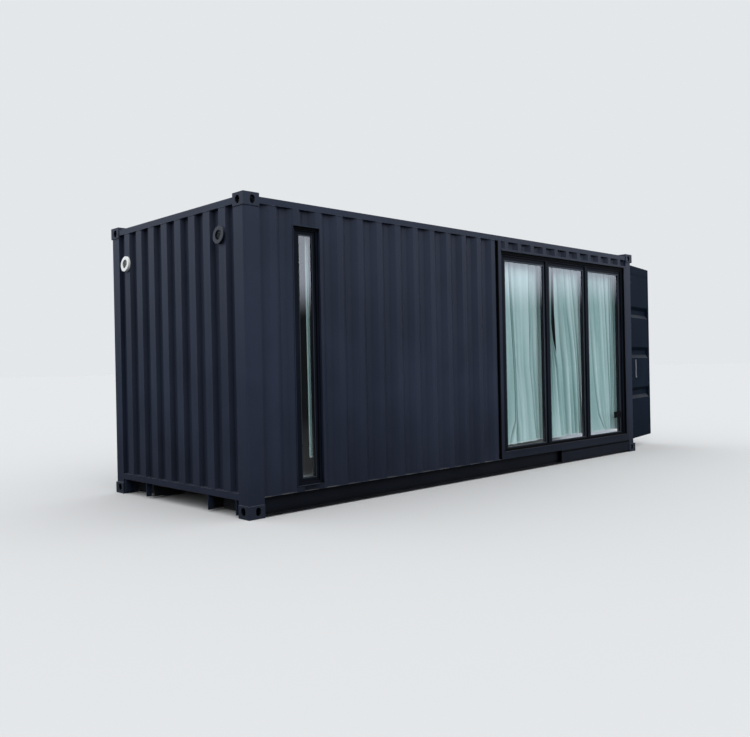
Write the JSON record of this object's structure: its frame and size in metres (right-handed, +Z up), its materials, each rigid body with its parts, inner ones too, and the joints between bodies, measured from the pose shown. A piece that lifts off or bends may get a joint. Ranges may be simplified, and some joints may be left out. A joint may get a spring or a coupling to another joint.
{
  "type": "container cabin",
  "caption": "Cabin made from a shortened high-cube shipping container: corrugated steel shell, wide glazing with curtains, a slit window, wall vents and a cargo door leaf that swings.",
  "frame": {"origin": "centre of the footprint over the corner castings, on the ground", "axes": "+X along the cabin to the cargo door end, -Y out of the glazed long side, +Z up"},
  "size_m": [8.2531, 2.438, 2.896],
  "materials": {
    "wall_paint": "satin dark grey-blue paint",
    "casting_paint": "satin paint over cast steel",
    "underframe_paint": "dull underbody coating",
    "plywood": "oiled plywood",
    "floor_boards": "matt floor boards",
    "lining": "painted insulated board",
    "window_profile": "powder coated, fine texture",
    "glazing": "sealed double pane",
    "lock_plastic": "moulded",
    "track": "white coated",
    "curtain_cloth": "light woven cloth",
    "vent_plastic": "white moulded",
    "gasket": "black lip seal"
  },
  "bodies": {
    "cabin": {"bottom_castings": "casting_paint", "top_castings": "casting_paint", "front_posts": "wall_paint", "rear_posts": "wall_paint", "top_side_rails": "wall_paint", "bottom_side_rails": "wall_paint", "front_header": "wall_paint", "front_sill": "wall_paint", "rear_header": "wall_paint", "rear_sill": "wall_paint", "joists": "underframe_paint", "gooseneck_tunnel": "underframe_paint", "deck": "plywood", "raised_floor": "floor_boards", "front_wall": "wall_paint", "far_wall": "wall_paint", "near_wall_panels": "wall_paint", "near_wall_strips": "wall_paint", "roof": "wall_paint", "front_lining": "lining", "far_lining": "lining", "near_lining_panels": "lining", "near_lining_strips": "lining", "ceiling": "lining", "opening_surrounds": "wall_paint", "window_frame": "window_profile", "glazing_frame": "window_profile", "panes": "glazing", "glazing_lock": "lock_plastic", "curtain_track": "track", "curtain_1": "curtain_cloth", "curtain_2": "curtain_cloth", "curtain_3": "curtain_cloth", "window_curtain": "curtain_cloth", "pale_vent": "vent_plastic", "dark_vent": "wall_paint", "far_leaf_frame": "wall_paint", "far_leaf_panel": "wall_paint", "far_leaf_hinges": "casting_paint", "far_leaf_gasket": "gasket"},
    "cargo_leaf": {"near_leaf_frame": "wall_paint", "near_leaf_panel": "wall_paint", "near_leaf_hinges": "casting_paint", "near_leaf_gasket": "gasket"}
  },
  "joints": [
    {"name": "cargo_leaf_swing", "type": "hinge", "parent": "cabin", "child": "cargo_leaf", "pos_m": [3.526, -1.184, 1.455], "axis": [0, 0, -1], "range_deg": [-79.5, 190.5]}
  ]
}
